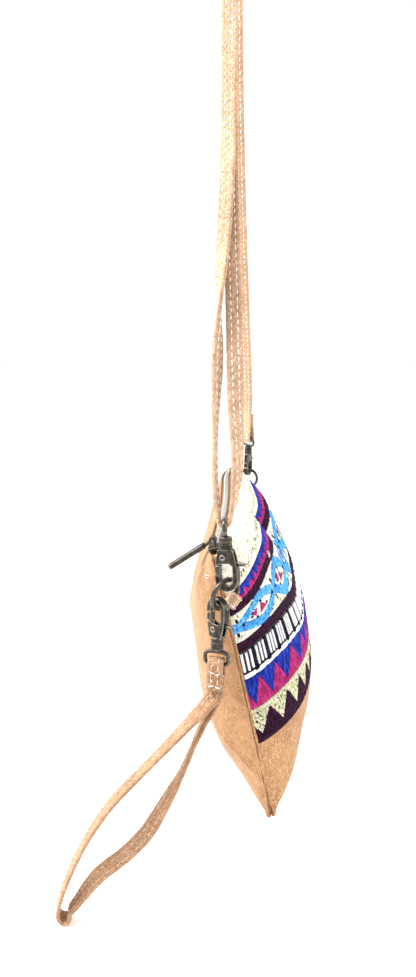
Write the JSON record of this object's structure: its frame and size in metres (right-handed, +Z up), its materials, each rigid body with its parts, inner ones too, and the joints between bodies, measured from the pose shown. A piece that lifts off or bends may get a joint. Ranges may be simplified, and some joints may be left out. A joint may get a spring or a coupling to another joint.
{
  "type": "clutch bag",
  "caption": "Soft zip-top clutch bag of suede with a banded embroidered front, a clip-on shoulder strap on lobster clasps and a clip-on wrist loop, hanging from its strap.",
  "frame": {"origin": "on the shoulder strap's inner face at the top of its bend, where the bag hangs", "axes": "+Z up along the hanging strap, -Y toward the embroidered front, -X toward the end with the wrist loop"},
  "size_m": [0.3271, 0.1524, 0.6701],
  "materials": {
    "suede": "light tan suede, matt nap",
    "embroidered_cloth": "dark cloth covered with bands of many-coloured embroidery",
    "stitching": "off-white sewing thread",
    "zip_tape": "woven tan tape",
    "zip_teeth": "pale grey, satin",
    "gunmetal": "dark antique plating, worn bright on its edges"
  },
  "bodies": {
    "bag": {"embroidered_panel": "embroidered_cloth", "front_base": "suede", "back_panel": "suede", "zip_tape": "zip_tape", "zip_teeth": "zip_teeth", "zip_slider": "gunmetal", "ring_near": "gunmetal", "ring_far": "gunmetal", "ring_tab_near": "suede", "ring_tab_far": "suede", "strap_clasp_near_body": "gunmetal", "strap_clasp_near_eye": "gunmetal", "strap_clasp_far_body": "gunmetal", "strap_clasp_far_eye": "gunmetal", "wrist_clasp_body": "gunmetal", "wrist_clasp_eye": "gunmetal", "shoulder_strap": "suede", "wrist_strap": "suede"},
    "strap_clasp_near_lever": {"strap_clasp_near_lever": "gunmetal"},
    "strap_clasp_far_lever": {"strap_clasp_far_lever": "gunmetal"},
    "wrist_clasp_lever": {"wrist_clasp_lever": "gunmetal"},
    "zip_pull": {"zip_pull": "gunmetal"}
  },
  "joints": [
    {"name": "strap_clasp_near_lever_hinge", "type": "hinge", "parent": "bag", "child": "strap_clasp_near_lever", "pos_m": [-0.14518, -0.00511, -0.45245], "axis": [-0.9267, 0.3576, 0.1157], "range_deg": [0, 24], "stiffness_Nm_per_rad": 0.02, "springref_deg": -20.05},
    {"name": "strap_clasp_far_lever_hinge", "type": "hinge", "parent": "bag", "child": "strap_clasp_far_lever", "pos_m": [0.14508, -0.00981, -0.44938], "axis": [-0.3397, -0.9391, -0.0517], "range_deg": [0, 24], "stiffness_Nm_per_rad": 0.02, "springref_deg": -20.05},
    {"name": "wrist_clasp_lever_hinge", "type": "hinge", "parent": "bag", "child": "wrist_clasp_lever", "pos_m": [-0.14722, -0.00093, -0.49179], "axis": [0.759, -0.6491, -0.0509], "range_deg": [0, 24], "stiffness_Nm_per_rad": 0.02, "springref_deg": -20.05},
    {"name": "zip_pull_hinge", "type": "hinge", "parent": "bag", "child": "zip_pull", "pos_m": [-0.124, 0.0023, -0.44954], "axis": [1, 0, 0], "range_deg": [0, 150]}
  ]
}
